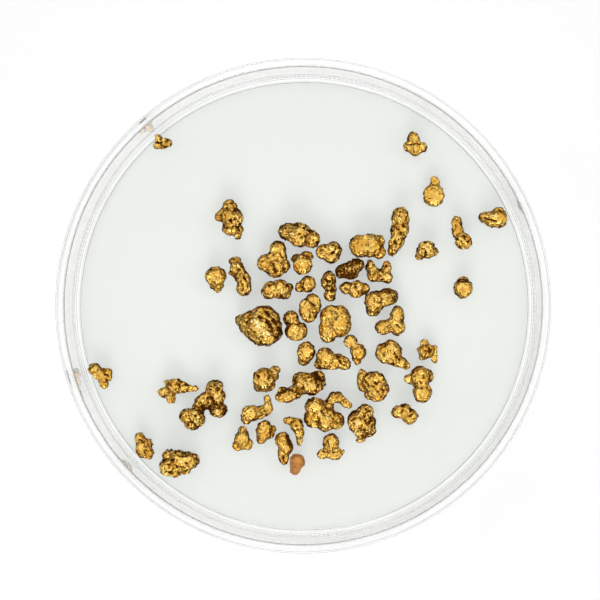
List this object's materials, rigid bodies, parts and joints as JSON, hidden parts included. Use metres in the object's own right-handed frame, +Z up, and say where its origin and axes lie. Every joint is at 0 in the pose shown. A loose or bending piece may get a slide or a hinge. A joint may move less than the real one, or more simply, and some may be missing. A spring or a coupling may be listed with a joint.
{
  "type": "sample dish with gold nuggets",
  "caption": "Clear round shallow sample dish with a low wall and a foot ring, holding loose rough gold nuggets that lift out.",
  "frame": {"origin": "centre of the underside of the dish, on the surface it stands on", "axes": "+Z is up along the axis of the dish; +X and +Y lie in the surface it stands on, with the largest group of nuggets near the middle and towards -Y"},
  "size_m": [0.09, 0.09, 0.015],
  "materials": {
    "clear_plastic": "polished clear moulded polystyrene",
    "nugget_gold": "rough pitted natural gold, bright on the high spots and brown in the hollows",
    "stained_gold": "smooth worn grain with an orange-brown iron stain"
  },
  "bodies": {
    "dish": {"dish": "clear_plastic"},
    "nugget_clover": {"nugget_clover": "nugget_gold"},
    "nugget_trefoil": {"nugget_trefoil": "nugget_gold"},
    "nugget_leaf": {"nugget_leaf": "nugget_gold"},
    "nugget_flame": {"nugget_flame": "nugget_gold"},
    "nugget_drop": {"nugget_drop": "nugget_gold"},
    "nugget_finger": {"nugget_finger": "nugget_gold"},
    "nugget_peg": {"nugget_peg": "nugget_gold"},
    "nugget_slab": {"nugget_slab": "nugget_gold"},
    "nugget_brick": {"nugget_brick": "nugget_gold"},
    "nugget_dome": {"nugget_dome": "nugget_gold"},
    "nugget_button": {"nugget_button": "nugget_gold"},
    "nugget_boot": {"nugget_boot": "nugget_gold"},
    "nugget_knob": {"nugget_knob": "nugget_gold"},
    "nugget_coal": {"nugget_coal": "nugget_gold"},
    "nugget_horns": {"nugget_horns": "nugget_gold"},
    "nugget_pear": {"nugget_pear": "nugget_gold"},
    "nugget_spindle": {"nugget_spindle": "nugget_gold"},
    "nugget_stack": {"nugget_stack": "nugget_gold"},
    "nugget_pea": {"nugget_pea": "nugget_gold"},
    "nugget_bean": {"nugget_bean": "nugget_gold"},
    "nugget_loaf": {"nugget_loaf": "nugget_gold"},
    "nugget_bead": {"nugget_bead": "nugget_gold"},
    "nugget_block": {"nugget_block": "nugget_gold"},
    "nugget_mitten": {"nugget_mitten": "nugget_gold"},
    "nugget_wedge": {"nugget_wedge": "nugget_gold"},
    "nugget_shield": {"nugget_shield": "nugget_gold"},
    "nugget_lemon": {"nugget_lemon": "nugget_gold"},
    "nugget_gourd": {"nugget_gourd": "nugget_gold"},
    "nugget_fork": {"nugget_fork": "nugget_gold"},
    "nugget_star": {"nugget_star": "nugget_gold"},
    "nugget_tooth": {"nugget_tooth": "nugget_gold"},
    "nugget_fish": {"nugget_fish": "nugget_gold"},
    "nugget_tent": {"nugget_tent": "nugget_gold"},
    "nugget_heart": {"nugget_heart": "nugget_gold"},
    "nugget_snout": {"nugget_snout": "nugget_gold"},
    "nugget_bust": {"nugget_bust": "nugget_gold"},
    "nugget_helmet": {"nugget_helmet": "nugget_gold"},
    "nugget_peanut": {"nugget_peanut": "nugget_gold"},
    "nugget_boat": {"nugget_boat": "nugget_gold"},
    "nugget_cluster": {"nugget_cluster": "nugget_gold"},
    "nugget_snail": {"nugget_snail": "nugget_gold"},
    "nugget_crown": {"nugget_crown": "nugget_gold"},
    "nugget_crumb": {"nugget_crumb": "nugget_gold"},
    "nugget_hook": {"nugget_hook": "nugget_gold"},
    "nugget_egg": {"nugget_egg": "nugget_gold"},
    "nugget_crescent": {"nugget_crescent": "nugget_gold"},
    "nugget_bell": {"nugget_bell": "nugget_gold"},
    "nugget_splinter": {"nugget_splinter": "nugget_gold"},
    "nugget_hat": {"nugget_hat": "nugget_gold"},
    "nugget_post": {"nugget_post": "nugget_gold"},
    "nugget_rock": {"nugget_rock": "nugget_gold"},
    "nugget_pebble": {"nugget_pebble": "stained_gold"}
  },
  "joints": [
    {"name": "lift_clover", "type": "slide", "parent": "dish", "child": "nugget_clover", "axis": [0, 0, 1], "range_m": [0, 0.02]},
    {"name": "lift_trefoil", "type": "slide", "parent": "dish", "child": "nugget_trefoil", "axis": [0, 0, 1], "range_m": [0, 0.02]},
    {"name": "lift_leaf", "type": "slide", "parent": "dish", "child": "nugget_leaf", "axis": [0, 0, 1], "range_m": [0, 0.02]},
    {"name": "lift_flame", "type": "slide", "parent": "dish", "child": "nugget_flame", "axis": [0, 0, 1], "range_m": [0, 0.02]},
    {"name": "lift_drop", "type": "slide", "parent": "dish", "child": "nugget_drop", "axis": [0, 0, 1], "range_m": [0, 0.02]},
    {"name": "lift_finger", "type": "slide", "parent": "dish", "child": "nugget_finger", "axis": [0, 0, 1], "range_m": [0, 0.02]},
    {"name": "lift_peg", "type": "slide", "parent": "dish", "child": "nugget_peg", "axis": [0, 0, 1], "range_m": [0, 0.02]},
    {"name": "lift_slab", "type": "slide", "parent": "dish", "child": "nugget_slab", "axis": [0, 0, 1], "range_m": [0, 0.02]},
    {"name": "lift_brick", "type": "slide", "parent": "dish", "child": "nugget_brick", "axis": [0, 0, 1], "range_m": [0, 0.02]},
    {"name": "lift_dome", "type": "slide", "parent": "dish", "child": "nugget_dome", "axis": [0, 0, 1], "range_m": [0, 0.02]},
    {"name": "lift_button", "type": "slide", "parent": "dish", "child": "nugget_button", "axis": [0, 0, 1], "range_m": [0, 0.02]},
    {"name": "lift_boot", "type": "slide", "parent": "dish", "child": "nugget_boot", "axis": [0, 0, 1], "range_m": [0, 0.02]},
    {"name": "lift_knob", "type": "slide", "parent": "dish", "child": "nugget_knob", "axis": [0, 0, 1], "range_m": [0, 0.02]},
    {"name": "lift_coal", "type": "slide", "parent": "dish", "child": "nugget_coal", "axis": [0, 0, 1], "range_m": [0, 0.02]},
    {"name": "lift_horns", "type": "slide", "parent": "dish", "child": "nugget_horns", "axis": [0, 0, 1], "range_m": [0, 0.02]},
    {"name": "lift_pear", "type": "slide", "parent": "dish", "child": "nugget_pear", "axis": [0, 0, 1], "range_m": [0, 0.02]},
    {"name": "lift_spindle", "type": "slide", "parent": "dish", "child": "nugget_spindle", "axis": [0, 0, 1], "range_m": [0, 0.02]},
    {"name": "lift_stack", "type": "slide", "parent": "dish", "child": "nugget_stack", "axis": [0, 0, 1], "range_m": [0, 0.02]},
    {"name": "lift_pea", "type": "slide", "parent": "dish", "child": "nugget_pea", "axis": [0, 0, 1], "range_m": [0, 0.02]},
    {"name": "lift_bean", "type": "slide", "parent": "dish", "child": "nugget_bean", "axis": [0, 0, 1], "range_m": [0, 0.02]},
    {"name": "lift_loaf", "type": "slide", "parent": "dish", "child": "nugget_loaf", "axis": [0, 0, 1], "range_m": [0, 0.02]},
    {"name": "lift_bead", "type": "slide", "parent": "dish", "child": "nugget_bead", "axis": [0, 0, 1], "range_m": [0, 0.02]},
    {"name": "lift_block", "type": "slide", "parent": "dish", "child": "nugget_block", "axis": [0, 0, 1], "range_m": [0, 0.02]},
    {"name": "lift_mitten", "type": "slide", "parent": "dish", "child": "nugget_mitten", "axis": [0, 0, 1], "range_m": [0, 0.02]},
    {"name": "lift_wedge", "type": "slide", "parent": "dish", "child": "nugget_wedge", "axis": [0, 0, 1], "range_m": [0, 0.02]},
    {"name": "lift_shield", "type": "slide", "parent": "dish", "child": "nugget_shield", "axis": [0, 0, 1], "range_m": [0, 0.02]},
    {"name": "lift_lemon", "type": "slide", "parent": "dish", "child": "nugget_lemon", "axis": [0, 0, 1], "range_m": [0, 0.02]},
    {"name": "lift_gourd", "type": "slide", "parent": "dish", "child": "nugget_gourd", "axis": [0, 0, 1], "range_m": [0, 0.02]},
    {"name": "lift_fork", "type": "slide", "parent": "dish", "child": "nugget_fork", "axis": [0, 0, 1], "range_m": [0, 0.02]},
    {"name": "lift_star", "type": "slide", "parent": "dish", "child": "nugget_star", "axis": [0, 0, 1], "range_m": [0, 0.02]},
    {"name": "lift_tooth", "type": "slide", "parent": "dish", "child": "nugget_tooth", "axis": [0, 0, 1], "range_m": [0, 0.02]},
    {"name": "lift_fish", "type": "slide", "parent": "dish", "child": "nugget_fish", "axis": [0, 0, 1], "range_m": [0, 0.02]},
    {"name": "lift_tent", "type": "slide", "parent": "dish", "child": "nugget_tent", "axis": [0, 0, 1], "range_m": [0, 0.02]},
    {"name": "lift_heart", "type": "slide", "parent": "dish", "child": "nugget_heart", "axis": [0, 0, 1], "range_m": [0, 0.02]},
    {"name": "lift_snout", "type": "slide", "parent": "dish", "child": "nugget_snout", "axis": [0, 0, 1], "range_m": [0, 0.02]},
    {"name": "lift_bust", "type": "slide", "parent": "dish", "child": "nugget_bust", "axis": [0, 0, 1], "range_m": [0, 0.02]},
    {"name": "lift_helmet", "type": "slide", "parent": "dish", "child": "nugget_helmet", "axis": [0, 0, 1], "range_m": [0, 0.02]},
    {"name": "lift_peanut", "type": "slide", "parent": "dish", "child": "nugget_peanut", "axis": [0, 0, 1], "range_m": [0, 0.02]},
    {"name": "lift_boat", "type": "slide", "parent": "dish", "child": "nugget_boat", "axis": [0, 0, 1], "range_m": [0, 0.02]},
    {"name": "lift_cluster", "type": "slide", "parent": "dish", "child": "nugget_cluster", "axis": [0, 0, 1], "range_m": [0, 0.02]},
    {"name": "lift_snail", "type": "slide", "parent": "dish", "child": "nugget_snail", "axis": [0, 0, 1], "range_m": [0, 0.02]},
    {"name": "lift_crown", "type": "slide", "parent": "dish", "child": "nugget_crown", "axis": [0, 0, 1], "range_m": [0, 0.02]},
    {"name": "lift_crumb", "type": "slide", "parent": "dish", "child": "nugget_crumb", "axis": [0, 0, 1], "range_m": [0, 0.02]},
    {"name": "lift_hook", "type": "slide", "parent": "dish", "child": "nugget_hook", "axis": [0, 0, 1], "range_m": [0, 0.02]},
    {"name": "lift_egg", "type": "slide", "parent": "dish", "child": "nugget_egg", "axis": [0, 0, 1], "range_m": [0, 0.02]},
    {"name": "lift_crescent", "type": "slide", "parent": "dish", "child": "nugget_crescent", "axis": [0, 0, 1], "range_m": [0, 0.02]},
    {"name": "lift_bell", "type": "slide", "parent": "dish", "child": "nugget_bell", "axis": [0, 0, 1], "range_m": [0, 0.02]},
    {"name": "lift_splinter", "type": "slide", "parent": "dish", "child": "nugget_splinter", "axis": [0, 0, 1], "range_m": [0, 0.02]},
    {"name": "lift_hat", "type": "slide", "parent": "dish", "child": "nugget_hat", "axis": [0, 0, 1], "range_m": [0, 0.02]},
    {"name": "lift_post", "type": "slide", "parent": "dish", "child": "nugget_post", "axis": [0, 0, 1], "range_m": [0, 0.02]},
    {"name": "lift_rock", "type": "slide", "parent": "dish", "child": "nugget_rock", "axis": [0, 0, 1], "range_m": [0, 0.02]},
    {"name": "lift_pebble", "type": "slide", "parent": "dish", "child": "nugget_pebble", "axis": [0, 0, 1], "range_m": [0, 0.02]}
  ]
}
